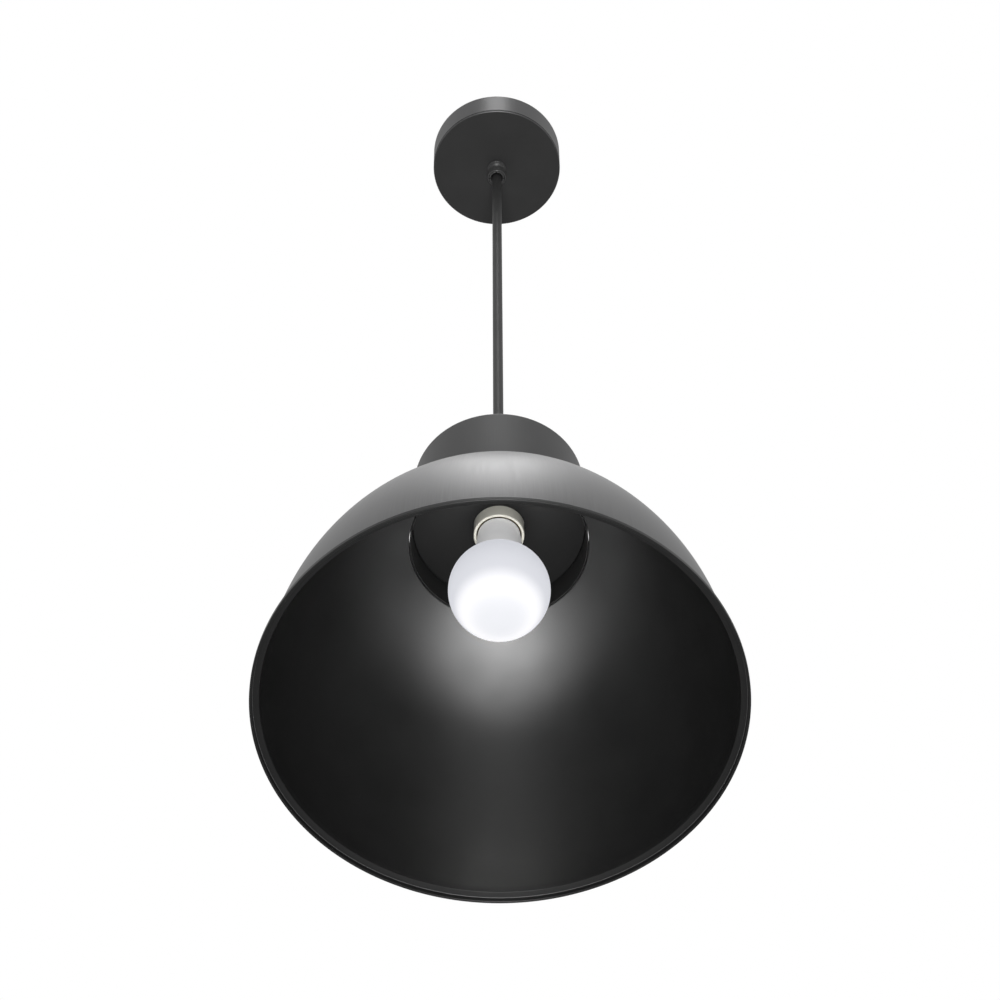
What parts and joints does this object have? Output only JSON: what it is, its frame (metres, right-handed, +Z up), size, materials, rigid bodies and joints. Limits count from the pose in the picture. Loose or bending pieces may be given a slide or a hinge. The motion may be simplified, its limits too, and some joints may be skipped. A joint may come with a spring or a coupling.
{
  "type": "pendant ceiling light",
  "caption": "Pendant light: a ceiling cup, a cord in cord grips, and a metal dome shade with a flared rim under a neck can that holds a round opal bulb.",
  "frame": {"origin": "centre of the ceiling bracket's top face, which lies on the ceiling", "axes": "+Z up along the cord, into the ceiling; +X along the ceiling bracket; the picture looks along +Y from below"},
  "size_m": [0.3, 0.3, 0.744],
  "materials": {
    "charcoal_metal": "satin, brushed",
    "satin_black": "satin",
    "cord_black": "smooth matte",
    "grip_black": "satin",
    "bracket_steel": "brushed",
    "zinc_plate": "zinc plated",
    "brass": "satin",
    "cap_nickel": "nickel plated",
    "natural_plastic": "matte",
    "cream_plastic": "satin gloss",
    "light_grey_plastic": "satin",
    "opal": "opal, glows when lit",
    "cap_glass": "gloss",
    "core_brown": "smooth",
    "core_blue": "smooth",
    "core_earth": "smooth"
  },
  "bodies": {
    "canopy": {"ceiling_bracket": "bracket_steel", "canopy_cup": "charcoal_metal", "canopy_set_screw_1": "zinc_plate", "canopy_set_screw_2": "zinc_plate", "terminal_block": "natural_plastic", "terminal_block_screw": "zinc_plate", "terminal_tube_1": "brass", "terminal_tube_2": "brass", "terminal_tube_3": "brass", "terminal_screw_1": "zinc_plate", "terminal_screw_2": "zinc_plate", "terminal_screw_3": "zinc_plate", "terminal_screw_4": "zinc_plate", "terminal_screw_5": "zinc_plate", "terminal_screw_6": "zinc_plate", "canopy_grip_body": "grip_black", "canopy_grip_collet": "grip_black", "canopy_grip_washer": "zinc_plate", "canopy_grip_nut": "zinc_plate", "cord_top_end": "cord_black", "top_core_1": "core_brown", "top_core_2": "core_blue", "top_core_3": "core_earth"},
    "cord_bend": {"cord_bend": "cord_black"},
    "cord": {"suspension_cord": "cord_black"},
    "shade": {"shade_dome": "charcoal_metal", "neck_can": "charcoal_metal", "inner_plate": "satin_black", "can_grip_body": "grip_black", "can_grip_collet": "grip_black", "can_grip_nut": "zinc_plate", "can_earth_washer": "zinc_plate", "cord_bottom_end": "cord_black", "bottom_core_1": "core_brown", "bottom_core_2": "core_blue", "bottom_core_3": "core_earth", "plate_post_1": "zinc_plate", "plate_post_2": "zinc_plate", "plate_post_3": "zinc_plate", "post_screw_1": "zinc_plate", "post_screw_2": "zinc_plate", "post_screw_3": "zinc_plate", "collar_screw_1": "zinc_plate", "collar_screw_2": "zinc_plate", "collar_screw_3": "zinc_plate", "holder_body": "cream_plastic", "holder_cap": "cream_plastic", "holder_insert": "natural_plastic", "holder_contact": "brass", "holder_thread": "brass", "holder_screw_1": "zinc_plate", "holder_screw_2": "zinc_plate"},
    "bulb_seat": {"bulb_contact": "zinc_plate"},
    "bulb": {"bulb_globe": "opal", "bulb_neck": "light_grey_plastic", "bulb_cap": "cap_nickel", "bulb_insulator": "cap_glass", "bulb_led_board": "natural_plastic"}
  },
  "joints": [
    {"name": "swing_front_back", "type": "hinge", "parent": "canopy", "child": "cord_bend", "pos_m": [0, 0, -0.0426], "axis": [1, 0, 0], "range_deg": [-25, 25]},
    {"name": "swing_side", "type": "hinge", "parent": "cord_bend", "child": "cord", "pos_m": [0, 0, -0.0546], "axis": [0, 1, 0], "range_deg": [-25, 25]},
    {"name": "shade_twist", "type": "hinge", "parent": "cord", "child": "shade", "pos_m": [0, 0, -0.4765], "axis": [0, 0, 1], "range_deg": [-180, 180]},
    {"name": "bulb_travel", "type": "slide", "parent": "shade", "child": "bulb_seat", "axis": [0, 0, -1], "range_m": [0, 0.0181]},
    {"name": "bulb_unscrew", "type": "hinge", "parent": "bulb_seat", "child": "bulb", "pos_m": [0, 0, -0.5552], "axis": [0, 0, -1], "range_deg": [0, 1800]}
  ],
  "couplings": [
    {"joint": "bulb_unscrew", "follows": "bulb_travel", "rad_per_m": 1731.4}
  ]
}
